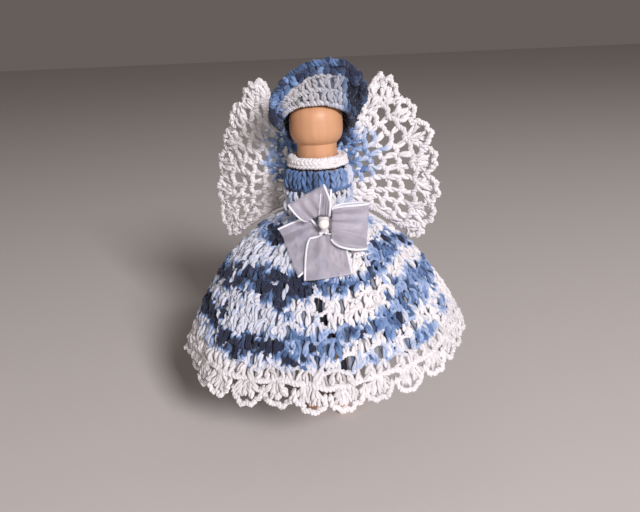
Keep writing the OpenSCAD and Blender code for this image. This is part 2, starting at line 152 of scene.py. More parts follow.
class Turned:
    """A surface of revolution round Z from a line of (radius, height) points. A hung one has
    the hem's folds and tilt, and loose is how uneven the work lies."""

    def __init__(self, line, hung=False, loose=0.0):
        self.loose = loose
        self.line = np.asarray(line, float)
        step = np.linalg.norm(np.diff(self.line, axis=0), axis=1)
        self.arc = np.concatenate([[0], np.cumsum(step)])
        self.length = self.arc[-1]
        self.hung = hung

    def profile(self, v):
        r = np.interp(v, self.arc, self.line[:, 0])
        z = np.interp(v, self.arc, self.line[:, 1])
        beyond = np.maximum(v - self.length, 0)
        end = unit(self.line[-1] - self.line[-4])
        return r + beyond * end[0], z + beyond * end[1]

    def __call__(self, u, v, w):
        u, v, w = alike(u, v, w)
        v = v + self.loose * (0.4 * sin(5 * u + 1.7) + 0.3 * sin(11 * u + 0.4 + 0.1 * v))
        lumps = 0.3 * sin(13 * u + 0.9 * v) * sin(0.75 * v + 1) + 0.2 * sin(29 * u - 0.6 * v)
        w = w + self.loose * lumps
        r, z = self.profile(v)
        ra, za = self.profile(v - 0.4)
        rb, zb = self.profile(v + 0.4)
        out = unit(at(za - zb, rb - ra))
        r = r + w * out[..., 0]
        z = z + w * out[..., 1]
        if self.hung:
            k = np.clip((waist_z - z) / (waist_z - hem_z), 0, 1.3) ** 2
            r = r + fold_depth * k * cos(fold_count * u)
            z = z + k * (hem_tilt * cos(u) + hem_wave * cos(2 * u))
        c, s = cos(u), sin(u)
        return at(r * c, r * s, z), at(out[..., 0] * c, out[..., 0] * s, out[..., 1])


bell_shares = [
    [0, 0], [0.1, 0.035], [0.248, 0.115], [0.461, 0.25], [0.616, 0.4],
    [0.749, 0.56], [0.864, 0.73], [0.935, 0.85], [1, 1],
]


def bell_line():
    s = through(bell_shares, np.linspace(0, 1, 160))
    bell = at(lerp(waist_r, hem_r, s[:, 0]), lerp(waist_z, hem_z, s[:, 1]))
    bodice = at(waist_r, np.linspace(bodice_z, waist_z + 0.5, 12))
    return np.concatenate([bodice, bell])


bell = Turned(bell_line(), hung=True, loose=1.0)
lace_start = float(np.interp(-(hem_z + lace_h), -bell.line[:, 1], bell.arc))
round_h = lace_start / skirt_rounds

yoke_shares = [[0.6, 0], [0.78, 0.12], [0.91, 0.3], [0.98, 0.5], [1, 0.72], [0.985, 1]]


def yoke_line():
    s = through(yoke_shares, np.linspace(0, 1, 60))
    inner = collar_out + seam_gap
    r = inner + (yoke_r - inner) * (s[:, 0] - 0.6) / 0.4
    return at(r, yoke_z - yoke_drop * s[:, 1])


yoke = Turned(yoke_line(), loose=0.3)


# Yarn


def sideways(path, out, closed):
    """Two directions across each path, the first as near to out as it can be."""
    along = np.roll(path, -1, 1) - np.roll(path, 1, 1) if closed else np.gradient(path, axis=1)
    along = unit(along)
    out = np.broadcast_to(out, path.shape)
    side = unit(out - np.sum(out * along, -1, keepdims=True) * along)
    return side, np.cross(along, side)


class Yarn:
    """Tubes of plied yarn, gathered into one mesh. Each tube has a dye (0 is undyed, 1 the
    darkest blue) and a tone: its own small difference in lightness, and painted shade where it is set
    well below zero."""

    plies = 3
    ply_depth = 0.13
    ply_turn = 1.5
    end_share = 0.55

    def __init__(self):
        self.points, self.faces, self.dye, self.tone_and_shade = [], [], [], []
        self.count = 0

    def tubes(self, path, out, radius, dye, tone_and_shade=None, closed=False, taper=True, sides=9):
        """One tube along each row of path, (tubes, points, 3), with outward directions."""
        tubes, n, _ = path.shape
        side_a, side_b = sideways(path, out, closed)
        step = np.linalg.norm(np.diff(path, axis=1), axis=-1)
        arc = np.concatenate([np.zeros((tubes, 1)), np.cumsum(step, 1)], 1)
        if closed:
            whole = arc[:, -1:] + np.linalg.norm(path[:, :1] - path[:, -1:], axis=-1)
            cycles = np.maximum(1, np.round(self.ply_turn * whole / TAU))
            turn = arc / whole * cycles * TAU
        else:
            turn = self.ply_turn * arc + rng.uniform(0, TAU, (tubes, 1))
        angle = ring(sides)
        lobes = 1 + self.ply_depth * cos(self.plies * angle - turn[..., None])
        size = np.broadcast_to(radius, (tubes, n))
        if taper and not closed:
            size = size * np.where(np.arange(n) % (n - 1) == 0, self.end_share, 1)
        r = size[..., None] * lobes
        skin = (
            path[:, :, None]
            + r[..., None] * cos(angle)[:, None] * side_a[:, :, None]
            + r[..., None] * sin(angle)[:, None] * side_b[:, :, None]
        )
        index = np.arange(tubes * n * sides).reshape(tubes, n, sides) + self.count
        beside = np.roll(index, -1, 2)
        quads = np.stack([index, beside, np.roll(beside, -1, 1), np.roll(index, -1, 1)], -1)
        self.faces += quads[:, : n if closed else n - 1].reshape(-1, 4).tolist()
        if not closed:
            self.faces += index[:, 0].tolist() + index[:, -1, ::-1].tolist()
        self.points.append(skin.reshape(-1, 3))
        self.count += skin.size // 3
        if tone_and_shade is None:
            tone_and_shade = rng.normal(0, 1, (tubes, 1))
        for kept, values in ((self.dye, dye), (self.tone_and_shade, tone_and_shade)):
            kept.append(np.broadcast_to(np.asarray(values)[..., None], (tubes, n, sides)).reshape(-1))

    def rope(self, path, out, radius, gap, turns, dye, closed=False, phase=0.0, tone_and_shade=0.0):
        """Two strands that wind round each other along each row of path."""
        tubes, n, _ = path.shape
        side_a, side_b = sideways(path, out, closed)
        t = np.arange(n) / n if closed else np.linspace(0, 1, n)
        phase, turns = (np.broadcast_to(x, tubes)[:, None] for x in (phase, turns))
        for start in (0, 0.5):
            a = phase + TAU * (start + turns * t)
            strand = path + gap * (
                0.8 * cos(a)[..., None] * side_a + sin(a)[..., None] * side_b
            )
            shade = rng.normal(tone_and_shade, 1.0, (tubes, 1))
            self.tubes(strand, out, radius, dye, shade, closed=closed)

    def piece(self, name, body, slot, *nodes):
        """The finished mesh, which rides on a body and stands for the nodes."""
        points = np.concatenate(self.points)
        made = mesh_piece(name, points, self.faces, body, slot, *nodes)
        for kind, values in (("dye", self.dye), ("tone_and_shade", self.tone_and_shade)):
            attribute = made.data.attributes.new(kind, "FLOAT", "POINT")
            attribute.data.foreach_set("value", np.concatenate(values).astype(np.float32))
        made.data.materials.append(crochet_yarn)
        return made


def add_object(name, data):
    """A new object, linked into the scene."""
    obj = bpy.data.objects.new(name, data)
    bpy.context.scene.collection.objects.link(obj)
    return obj


def mesh_piece(name, points, faces, body, slot, *nodes):
    """A smooth mesh from points in millimetres; a body of None leaves it unattached."""
    mesh = bpy.data.meshes.new(name)
    mesh.from_pydata((points * MM).tolist(), [], faces)
    mesh.shade_smooth()
    obj = add_object(name, mesh)
    if body:
        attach(obj, body)
    if nodes:
        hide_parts(*nodes)
    return obj


# Materials


class Look:
    """A new material made of nodes, with values or links for its shader's inputs."""

    def __init__(self, name, values):
        self.material = bpy.data.materials.new(name)
        self.material.use_nodes = True
        self.nodes = self.material.node_tree.nodes
        self.shader = self.nodes["Principled BSDF"]
        self.fill(self.shader, values)

    def fill(self, node, values):
        for name, value in values.items():
            if isinstance(value, bpy.types.NodeSocket):
                self.material.node_tree.links.new(value, node.inputs[name])
            else:
                node.inputs[name].default_value = value
        return node

    def add(self, kind, values, output=0, **settings):
        """An output of a new node with its inputs and settings."""
        node = self.nodes.new("ShaderNode" + kind)
        for name, value in settings.items():
            setattr(node, name, value)
        return self.fill(node, values).outputs[output]

    def attribute(self, name):
        """A value that the mesh carries."""
        return self.add("Attribute", {}, "Fac", attribute_name=name)

    def math(self, kind, *values):
        return self.add("Math", dict(enumerate(values)), operation=kind)

    def noise(self, scale, detail=3.0, stretch=None):
        """A noise texture in the object's own coordinates, scale in bumps per millimetre."""
        place = self.add("TexCoord", {}, "Object")
        if stretch:
            place = self.add("Mapping", {"Vector": place, "Scale": stretch})
        return self.add("TexNoise", {"Vector": place, "Scale": scale / MM, "Detail": detail}, "Fac")

    def ramp(self, factor, stops):
        colour = self.add("ValToRGB", {"Fac": factor})
        elements = colour.node.color_ramp.elements
        while len(elements) < len(stops):
            elements.new(1.0)
        for element, (place, value) in zip(elements, stops):
            element.position = place
            element.color = (*value, 1.0)
        return colour

    def finish(self, colour, height=None, strength=0.0, distance=0.0):
        """The finished material, with a relief whose distance is in millimetres."""
        self.fill(self.shader, {"Base Color": colour})
        if height:
            relief = {"Strength": strength, "Distance": distance * MM, "Height": height}
            self.fill(self.shader, {"Normal": self.add("Bump", relief)})
        return self.material


def yarn_material():
    """Soft plied yarn: its dye and tone come from the mesh, and fibres roughen it; the tone also
    darkens yarn where shade is painted on.
    """
    look = Look("crochet_yarn", {
        "Roughness": 0.92, "Sheen Weight": 0.25, "Sheen Roughness": 0.5, "Specular IOR Level": 0.25,
    })
    dye = look.attribute("dye")
    fibres = look.noise(5.0)
    shift = look.math("MULTIPLY_ADD", look.noise(0.5, 2.0), 0.34, -0.17)
    depth = look.math("MINIMUM", look.math("MULTIPLY", dye, 4.0), 1.0)
    total = look.math("ADD", dye, look.math("MULTIPLY", shift, depth))
    colour = look.ramp(total, [
        (0.0, (0.78, 0.755, 0.765)), (0.3, (0.37, 0.47, 0.68)),
        (0.58, (0.11, 0.20, 0.40)), (0.85, (0.018, 0.024, 0.055)),
    ])
    # The tone lightens or darkens the yarn: small random differences, and painted shade where it is
    # well below zero.
    lightness = look.math("MULTIPLY_ADD", look.attribute("tone_and_shade"), 0.06, 0.86)
    speck = look.math("MULTIPLY_ADD", fibres, 0.28, lightness)
    grey = look.add("CombineColor", {"Red": speck, "Green": speck, "Blue": speck})
    mix = look.nodes.new("ShaderNodeMix")
    mix.data_type = "RGBA"
    mix.blend_type = "MULTIPLY"
    look.fill(mix, {"Factor": 1.0, "A": colour, "B": grey})
    return look.finish(mix.outputs["Result"], fibres, 0.5, 0.25)


def wood_material():
    """Pale turned birch with grain along the pin."""
    look = Look("birch_wood", {"Roughness": 0.48})
    grain = look.noise(0.45, 5.0, stretch=(1.0, 1.0, 0.06))
    both = look.math("MULTIPLY_ADD", look.noise(3.0, stretch=(1.0, 1.0, 0.05)), 0.3, grain)
    stops = [(0.3, (0.50, 0.24, 0.12)), (0.55, (0.56, 0.285, 0.15)), (0.85, (0.61, 0.33, 0.18))]
    return look.finish(look.ramp(both, stops), both, 0.15, 0.2)


def organza_material():
    """Sheer ribbon: a fine open weave, lighter where threads cross."""
    look = Look("organza", {"Roughness": 0.42, "Alpha": 0.42, "Sheen Weight": 0.4})
    weave = look.noise(9.0, 1.0)
    both = look.math("MULTIPLY_ADD", weave, 0.35, look.noise(0.25))
    colour = look.ramp(both, [(0.4, (0.46, 0.43, 0.50)), (0.9, (0.64, 0.61, 0.69))])
    return look.finish(colour, weave, 0.25, 0.1)


def satin_material():
    """The ribbon's woven edge: smooth, bright threads."""
    look = Look("satin_edge", {"Roughness": 0.3, "Sheen Weight": 0.3})
    threads = look.noise(4.0, 2.0)
    colour = look.ramp(threads, [(0.3, (0.74, 0.76, 0.84)), (0.7, (0.92, 0.93, 0.98))])
    return look.finish(colour, threads, 0.2, 0.1)


def pearl_material():
    """A smooth bead with a clear coat and a faint cloud of colour."""
    look = Look("pearl", {"Roughness": 0.12, "Coat Weight": 0.8})
    stops = [(0.3, (0.93, 0.86, 0.76)), (0.7, (0.99, 0.96, 0.93))]
    return look.finish(look.ramp(look.noise(0.8, 2.0), stops))


crochet_yarn = yarn_material()


# Stitches

# Those that fill the scallops of the hem and the wings
lace_fan = dict(height=8, bulge=0.25, radius=0.44, stray=0.28, tone_and_shade=-1.5)
lace_scallop = dict(many=7, lower=0.72, spread=0.38, short=0.8, along=0.035, over=0.35)
wing_fan = dict(bulge=0.25, radius=0.48, stray=0.3)
wing_scallop = dict(many=5, lower=0.62, spread=0.40, short=0.012, along=0.03, over=0.01)
# How far a stitch starts inside the round before it, and the points along near and far ones
lap = 0.4
near_points, far_points = 9, 5


def wander(count, n, size, closed=False, knots=6):
    """Smooth random offsets along each of some paths, as soft yarn never lies quite even."""
    knot_t = np.linspace(0, 1, knots + 1)
    t = np.linspace(0, 1, n)
    drift = rng.normal(0, size, (count, knots + 1, 3))
    if closed:
        drift[:, -1] = drift[:, 0]
    i = np.minimum(knots - 1, (t * knots).astype(int))
    f = smooth((t - knot_t[i]) * knots)[None, :, None]
    return drift[:, i] * (1 - f) + drift[:, i + 1] * f


def reach_of(base, top, count):
    """The u and the v along each stitch from base to top, which are arrays of (u, v)."""
    t = np.linspace(0, 1, count)[None]
    return lerp(base[:, :1], top[:, :1], t), lerp(base[:, 1:], top[:, 1:], t)


def posts(
    yarn, surface, base, top, dye,
    height=near_points, bulge=0.35, radius=yarn_r, turns=1.0, stray=0.14, tone_and_shade=0.0,
):
    """Tall stitches, each two strands wound round each other, with height points along it."""
    count = len(base)
    swell = bulge * sin(np.pi * np.linspace(0, 1, height)[None])
    w = -yarn_t / 2 + swell + rng.normal(0, 0.1, (count, 1))
    path, out = surface(*reach_of(base, top, height), w)
    path = path + wander(count, height, stray, knots=2)
    phase = rng.uniform(-0.5, 0.5, count) + np.pi / 2
    size = radius * rng.normal(1, 0.09, (count, 1))
    wind = turns * rng.choice([1.1, 0.9, 0.7, -0.9, -0.7], count)
    yarn.rope(path, out, size, radius * 0.88, wind, dye, phase=phase, tone_and_shade=tone_and_shade)


def backing(yarn, surface, base, top, dye, beside=0.0, radius=0.62, deep=0.75, tone_and_shade=-2.5):
    """The far strands of the stitches, which close most of the gaps between the near ones. Their low
    tone darkens them as painted shade in the gaps.
    """
    step = [beside, 0]
    path, out = surface(*reach_of(base + step, top + step, far_points), -yarn_t / 2 - deep)
    path = path + wander(len(base), far_points, 0.15, knots=2)
    yarn.tubes(path, out, radius, dye, np.full((len(base), 1), tone_and_shade), sides=6, taper=False)


def runs(values, run):
    """The same value for a few neighbours along a row, as yarn keeps its dye for a while."""
    return values[(np.arange(len(values)) // run) * run][None]


def round_edge(
    yarn, surface, u, v, stitches, dye,
    push=0.0, closed=False, radius=yarn_r, stray=0.12, tone_and_shade=0.0,
):
    """The chain that tops a round: two strands twisted once for each stitch, push millimetres
    outside the middle of the work."""
    path, out = surface(u[None], np.broadcast_to(v, u.shape)[None], -yarn_t / 2 + push)
    path = path + wander(1, len(u), stray, closed, knots=max(6, int(stitches * 0.7)))
    yarn.rope(path, out, radius, radius * 0.85, stitches, dye, closed=closed, tone_and_shade=tone_and_shade)


def fans(first, last, count, many, v0, v1, spread, arch=0.0, jitter=0.03):
    """Bases and tops of a round of clusters of stitches, each spreading from its middle."""
    width = (last - first) / count
    middle = first + width * (np.arange(count) + 0.5)
    x = (np.arange(many) + 0.5) / many - 0.5
    top_share = 0.96
    u0 = middle[:, None] + x * width * spread
    u1 = middle[:, None] + x * width * top_share
    rise = np.broadcast_to(v1 + arch * (1 - 4 * x**2), u1.shape)
    u0 = u0 + rng.normal(0, jitter, u1.shape) * width
    u1 = u1 + rng.normal(0, jitter, u1.shape) * width
    return at(u0, v0).reshape(-1, 2), at(u1, rise).reshape(-1, 2)


def scallop_fans(
    yarn, surface, centre, width, v0, deep, stitch, many, lower, spread, short, along, over
):
    """Stitches that spread from the middle of each scallop to an arch with lower sides."""
    for x in np.linspace(-1, 1, many):
        reach = deep * np.sqrt(1 - (lower * x) ** 2)
        base = at(centre + 0.16 * width * x, v0)
        top = at(centre + spread * width * x, v0 + reach - short)
        top = top + rng.normal(0, 1, top.shape) * [along * width, over]
        posts(yarn, surface, base, top, 0.0, **stitch)


def spread_sides(t):
    """Spreads a scallop's sides so that neighbours meet."""
    return np.sign(t) * np.abs(t) ** 0.8


# The skirt's dye. Each band follows the round: (degrees from the front towards +X, distance
# down the skirt in millimetres), placed from the look of the doll.
upper_band = [
    (-180, 28), (-120, 32), (-90, 32.5), (-75, 31.5), (-60, 30.2), (-45, 28), (-38, 28.4),
    (-24, 31.3), (-17, 30), (-11, 29), (-4, 29), (6, 28.1), (24, 28.4), (34, 25.2), (46, 22.5),
    (58, 21.6), (74, 22), (100, 26), (130, 25), (180, 28),
]
upper_half = [
    (-180, 2.8), (-75, 3), (-60, 4.4), (-45, 3.6), (-24, 4.4), (-17, 4.6), (-11, 3.6), (-4, 2.1),
    (6, 1.6), (26, 1.7), (34, 3.2), (46, 3.8), (74, 3.8), (100, 3), (180, 2.8),
]
upper_depth = [(-180, 0.64), (180, 0.64)]
lower_band = [
    (-180, 44), (-120, 45), (-81, 43.5), (-69, 42.6), (-60, 43.2), (-53, 45.4), (-40, 47),
    (-34, 45.4), (-22, 45.6), (-17, 45), (0, 45), (6, 43), (12, 40.9), (24, 41.6), (30, 41.8),
    (37, 38.7), (45, 36.5), (53, 35.2), (64, 34.9), (90, 35.2), (110, 38), (140, 43), (180, 44),
]
lower_half = [
    (-180, 2.4), (-81, 3), (-69, 2.4), (-53, 2), (-40, 2.8), (-28, 2.3), (-20, 2.4),
    (-15, 4.2), (0, 4.5), (6, 2.5), (12, 1.9), (24, 1.7), (28, 3.4), (33, 3.8), (37, 3.8),
    (45, 5.2), (53, 5.6), (64, 4.8), (80, 3.6), (100, 2.8), (180, 2.4),
]
lower_depth = [(-180, 0.62), (-80, 0.8), (-24, 0.72), (-16, 0.44), (3, 0.42), (12, 0.55), (180, 0.6)]
# Other dyed patches: degrees, distance down, half width in degrees, half height, depth
patches = [
    (-48, 14, 34, 3.2, 0.72), (44, 49, 9, 3, 0.5), (18, 50.5, 12, 2.6, 0.3),
    (70, 46, 7, 2.6, 0.45), (58, 12, 30, 2.6, 0.4), (60, 5, 40, 4, 0.2),
    (-100, 16, 20, 3, 0.6), (-74, 43, 8, 3, 0.98), (-56, 39.4, 4, 1.4, 0.95),
    (-18, 29.5, 11, 4.6, 1), (-21, 34.4, 3.5, 2, 0.95), (-14, 48.4, 6, 1.4, 0.85),
    (150, 14, 34, 4, 0.6), (110, 50, 12, 2, 0.5), (-150, 18, 16, 3, 0.6),
]
# Gaps between stitches, where the far strands lie deeper and are dyed darkest as painted
# shade of the inside: degrees, distance down, half width, half height
holes = [
    (-3.4, 33.3, 3, 1.6), (-1.1, 37.8, 2.4, 1.2), (2.9, 42.2, 3, 1.8), (6.2, 47.4, 3, 1.6),
    (43, 38.5, 2.4, 1.7), (-45, 16.6, 4, 1.4), (-10, 51, 1.8, 1.1), (52, 13.5, 5, 1),
]
band_edge = 0.9
palest, mottle, navy = 0.15, 0.3, 0.92


def turn_of(u):
    """Degrees from the front towards +X."""
    return (np.degrees(u - FRONT) + 180) % 360 - 180


def skirt_dye(u, v):
    """How deeply the skirt's yarn is dyed at each place, with its own luck for each row of u,
    and deeper on the left side as painted shade.
    """
    turn = turn_of(u)
    luck = (len(turn), 1) if turn.ndim > 1 else turn.shape
    turn = turn + rng.normal(0, 1.8, luck)
    v = v + rng.normal(0, 0.8, luck)
    dye = 0.0
    for middle, half, depth in (
        (upper_band, upper_half, upper_depth), (lower_band, lower_half, lower_depth),
    ):
        middle, half, depth = (np.interp(turn, *np.transpose(rows)) for rows in (middle, half, depth))
        inside = smooth((half + band_edge - np.abs(v - middle)) / (2 * band_edge))
        dye = np.maximum(dye, depth * inside)
    for place, down, half_turn, half_down, depth in patches:
        away = np.hypot((turn - place) / half_turn, (v - down) / half_down)
        dye = np.maximum(dye, depth * smooth(1.6 - 1.2 * away))
    # Painted shade: on the left side the dye is deeper, with a little dye everywhere there, for the
    # shade on that side.
    painted_left_shade = smooth((18 - turn) / 52) * smooth((turn + 130) / 30)
    dye = np.maximum(dye * (rng.uniform(0.6, 1.35, luck) + 0.3 * painted_left_shade), 0.12 * painted_left_shade)
    stray = rng.uniform(0, 1, luck)
    dye = np.where((stray < 0.07) & (dye < 0.2), mottle, dye)
    dye = np.where((stray > 0.94) & (dye > 0.4), palest, dye)
    return np.where((stray > 0.78) & (stray < 0.86) & (dye > 0.4), navy, dye)


def in_hole(place, grow=1.0):
    """Which of some (u, v) places lie in a hole."""
    turn, v = turn_of(place[:, 0]), place[:, 1]
    found = np.zeros(len(place), bool)
    for middle, down, half_turn, half_down in holes:
        found |= np.hypot((turn - middle) / half_turn, (v - down) / half_down) < grow
    return found


# The dress

seam = FRONT + np.radians(seam_turn - 90)
shell_rise = 0.75
plain_rounds = 2
post_pitch, far_pitch, edge_step = 1.5, 1.2, 0.42
# How deep the far strands lie, also in the holes, and how much their dye is deepened as painted shade
# behind the near stitches.
far_depth, hole_depth, painted_far_shade = 0.8, 1.9, 0.12
lace_rise = 3.4
lace_tip = 1.0
picot = 0.75


def shell(u, i):
    """How far the line under round i rises and dips with the clusters."""
    return shell_rise * cos(columns * (u - seam) + np.pi * (i + 1)) * (i > plain_rounds)


def skirt_piece(name, rounds, *nodes):
    """Rounds of clusters, with more stitches in each as the skirt widens, their far strands and
    the chain along each round."""
    yarn = Yarn()
    for i in rounds:
        v0, v1 = i * round_h, (i + 1) * round_h
        way_round = TAU * float(bell.profile(np.array((v0 + v1) / 2))[0])
        many = max(1, int(round(way_round / columns / post_pitch)))
        first = seam + (i % 2) * 0.5 * TAU / columns
        base, top = fans(first, first + TAU, columns, many, v0 - lap, v1, 0.82, jitter=0.05)
        base[:, 1] += shell(base[:, 0], i)
        top[:, 1] += shell(top[:, 0], i + 1) + rng.normal(0, 0.2, len(top))
        clear = ~in_hole((base + top) / 2)
        base, top = base[clear], top[clear]
        dye = skirt_dye(*reach_of(base, top, near_points))
        posts(yarn, bell, base, top, dye, radius=0.44, stray=0.22)
        a = ring(int(way_round / far_pitch), first)
        base = at(a, v0 + shell(a, i))
        top = at(a + rng.normal(0, 0.01, len(a)), v1 + 0.5 + shell(a, i + 1))
        # Painted shade: far strands are dyed darkest in the holes, a little deeper elsewhere, and
        # given a low tone.
        hole_painted_dark = in_hole((base + top) / 2, 1.1)
        dye = skirt_dye(*reach_of(base, top, far_points)) + painted_far_shade
        dye = np.where(hole_painted_dark[:, None], 1, dye)
        deep = np.where(hole_painted_dark, hole_depth, far_depth)[:, None]
        backing(yarn, bell, base, top, dye, deep=deep, tone_and_shade=-9.0)
        u = ring(int(way_round / edge_step), first)
        v = v1 + 0.1 + shell(u, i + 1)
        dye = runs(skirt_dye(u, v), 5)
        round_edge(yarn, bell, u, v, many * columns, dye, closed=True, push=0.1, radius=0.4)
    yarn.piece(name, "dress", "variegated_yarn", *nodes)


def hem_lace():
    """A round of clusters and a round of open scallops with little loops along them."""
    yarn = Yarn()
    v0 = lace_start + lace_rise
    base, top = fans(
        FRONT, FRONT + TAU, columns * 2, 2, lace_start - lap, v0, 0.6, arch=0.3, jitter=0.06
    )
    posts(yarn, bell, base, top, 0.0, radius=0.48, stray=0.25, tone_and_shade=-1.5)
    aslant = TAU / columns / 8
    # Painted shade: the far strands get a low tone, darkening the gaps.
    backing(yarn, bell, base + [aslant, 0.2], top + [aslant, 0], 0.0, radius=0.5, tone_and_shade=-7.0)
    u = ring(columns * 22, FRONT)
    round_edge(
        yarn, bell, u, v0 + 0.1, columns * 5, 0.0,
        closed=True, push=0.25, radius=0.52, stray=0.25,
    )
    tip = bell.length - lace_tip
    width = TAU / columns
    centre = FRONT + width * (np.arange(columns) + 0.5)
    scallop_fans(yarn, bell, centre, width, v0, tip - v0, lace_fan, **lace_scallop)
    t = np.linspace(-1, 1, 41)
    for c in centre:
        wobble = rng.normal(0, 1, 4)
        u = c + width * (0.47 * spread_sides(t) + 0.025 * wobble[0])
        loops_out = np.abs(sin(2.0 * np.pi * (t + 1) + 0.2 * wobble[3]))
        arch = np.sqrt(np.clip(1 - (0.96 * t) ** 2, 0, 1))
        v = v0 - 0.3 + (tip - v0 + 0.3 + 0.25 * wobble[1]) * arch + picot * loops_out
        path, out = bell(u[None], v[None], -yarn_t / 2 + 0.3 + 0.3 * wobble[2])
        yarn.rope(path + wander(1, len(t), 0.25, knots=8), out, 0.46, 0.4, 8, 0.0)
    yarn.piece("hem_lace_rounds", "dress", "cream_yarn", "hem_lace")


def collar_piece():
    """A soft roll round the neck: ropes of opposite twist, placed round the roll's middle."""
    yarn = Yarn()
    u = ring(170)
    r = collar_out - collar_w / 2
    z = (collar_low + collar_top) / 2
    half = (collar_top - collar_low) / 2
    for dr, dz, turns in (
        (-0.62, half - 0.9, 24), (0.45, half - 0.75, -24), (0.72, 0.25, 22),
        (0.72, -0.7, -22), (-0.4, -0.2, 18), (0.1, 0.9 - half, 18),
    ):
        path = at((r + dr) * cos(u), (r + dr) * sin(u), z + dz)[None]
        path = path + wander(1, len(u), 0.1, closed=True, knots=20)
        out = at(0.7 * cos(u), 0.7 * sin(u), 0.7)[None]
        yarn.rope(path, out, 0.46, 0.36, turns, 0.0, closed=True)
    yarn.piece("collar_roll", "dress", "cream_yarn", "collar")


def yoke_dye(u):
    """Deep blue, lighter to the right as painted light from that side, with some nearly undyed
    stitches at the right side.
    """
    turn = turn_of(u)
    # Painted light: the dye is paler on the right, where the light falls.
    light = smooth((turn + 5) / 45) * smooth((120 - turn) / 40)
    dye = lerp(0.66, 0.5, light) * rng.uniform(0.88, 1.12, np.shape(turn))
    white = rng.uniform(0, 1, np.shape(turn)) < 0.4 * smooth((np.abs(turn - 84) - 30) / -14)
    return np.where(white, palest, dye)


def yoke_piece():
    """One round of tall stitches over the shoulders and the chain along its edge."""
    yarn = Yarn()
    count = 36
    end = yoke.length
    u = ring(count, FRONT, 0.5)
    base = at(u, 0.1)
    top = at(u + rng.normal(0, 0.015, count), end - rng.uniform(0.3, 0.9, count))
    posts(
        yarn, yoke, base, top, yoke_dye(u)[:, None],
        height=14, bulge=0.2, radius=0.44, turns=1.3, stray=0.08,
    )
    # Painted shade: the far strands are dyed near navy and toned down, darkening the gaps between the
    # ribs.
    backing(yarn, yoke, base, top, 0.95, TAU / count / 2, radius=0.7, deep=0.45)
    a = ring(190, FRONT)
    dye = runs(yoke_dye(a), 8) + 0.1
    round_edge(yarn, yoke, a, end - 0.35, 32, dye, closed=True, push=-0.25, radius=0.48)
    yarn.piece("yoke_round", "dress", "blue_yarn", "yoke")


# The wings

wing_len = 33.2
wing_low, wing_top = 51.2, 101.9
root_low, root_top = 65.6, 81.4
hinge_x = 3.5
wing_slit = 0.3
wing_y = max(yoke_r, waist_r) + move_gap + yarn_t / 2
rim_right_shares = [
    [0.39, 0.94], [0.52, 1], [0.66, 0.88], [0.84, 0.75], [0.96, 0.58],
    [1, 0.41], [0.99, 0.22], [0.89, 0.06], [0.78, 0],
]
rim_left_shares = [
    [0.31, 0.95], [0.42, 0.99], [0.6, 0.88], [0.78, 0.74], [0.91, 0.58],
    [0.99, 0.4], [1.01, 0.2], [0.95, 0.04], [0.82, 0],
]
bend_top_share, bend_low_share = np.array([0.26, 0.66]), np.array([0.4, 0.24])
# Degrees back at the seam and beyond the curl, and the shares of the width where it curls
curl_left = (8, 42, (0.26, 0.6))
curl_right = (4, -25, (0.4, 1.05))
wing_scallops = 8
wing_rows = [0.02, 0.13, 0.24, 0.35, 0.46, 0.58, 0.7, 0.82, 0.97]
wing_counts = [5, 6, 8, 9, 10, 12, 13]
paired_rows = 2
# How far out from the seam the blue reaches, and between which heights
blue_reach_left, blue_reach_right = 11.0, 14.5
blue_low, blue_high = 70.5, 87
navy_reach, navy_low, navy_high = 7.5, 80, 91


class Wing:
    """A wing's middle surface: u runs from tip to low corner, v from hinge line to rim, both
    0 to 1, and w forwards."""

    def __init__(self, side, rim_shares, lead, curl, curl_share):
        self.side = side
        self.rim_shares = np.array(rim_shares)
        s = np.linspace(0, wing_len * 1.3, 260)
        turn = (s / wing_len - curl_share[0]) / (curl_share[1] - curl_share[0])
        angle = np.radians(lerp(lead, curl, smooth(turn)))
        step = s[1] - s[0]
        steps = step * np.array([cos(angle[:-1]), sin(angle[:-1])])
        x, y = np.insert(np.cumsum(steps, 1), 0, 0, axis=1)
        self.s = s
        self.bent = (x, y, angle)

    def flat(self, u, v):
        """Distance out from the hinge line and height, before the wing curls."""
        corner, size = np.array([0, wing_low]), np.array([wing_len, wing_top - wing_low])
        rim = corner + size * through(self.rim_shares, u)
        bend = corner + size * lerp(bend_top_share, bend_low_share, u[..., None])
        root = at(0, lerp(root_top, root_low, u))
        v = v[..., None]
        beyond = np.maximum(v - 1, 0)
        v = np.minimum(v, 1)
        place = (1 - v) ** 2 * root + 2 * v * (1 - v) * bend + v * v * rim
        return place + beyond * wing_len * unit(rim - bend)

    def __call__(self, u, v, w):
        u, v, w = alike(u, v, w)
        place = self.flat(u, v)
        x, y, angle = (np.interp(place[..., 0], self.s, row) for row in self.bent)
        back = -(w + yarn_t / 2)
        x = hinge_x + wing_slit + x - back * sin(angle)
        y = wing_y + y + back * cos(angle)
        out = at(self.side * sin(angle), -cos(angle), 0)
        return at(self.side * x, y, place[..., 1]), out

    def dye(self, u, v):
        """Blue near the seam, above the waist, and fading to undyed yarn outwards. Only the
        right wing is navy beside the head."""
        u, v = alike(u, v)
        place = self.flat(u, v)
        luck = (len(u), 1) if u.ndim > 1 else u.shape
        away = place[..., 0] + rng.normal(0, 1.3, luck)
        height = place[..., 1] + rng.normal(0, 0.8, luck)
        reach = blue_reach_left if self.side < 0 else blue_reach_right
        depth = 0.5 if self.side < 0 else lerp(0.56, 0.24, smooth((away - 7) / 6))
        near = smooth((reach + 1.5 - away) / 3)
        near = near * smooth((height - blue_low) / 2) * smooth((blue_high - height) / 3)
        dye = depth * near * rng.uniform(0.75, 1.2, luck)
        dye = np.where((rng.uniform(0, 1, luck) < 0.14) & (near > 0.5), 0.1, dye)
        shade = smooth((navy_reach - away) / 2)
        shade = shade * smooth((height - navy_low) / 2) * smooth((navy_high - height) / 2)
        return np.maximum(dye, 0.97 * shade * (self.side > 0))


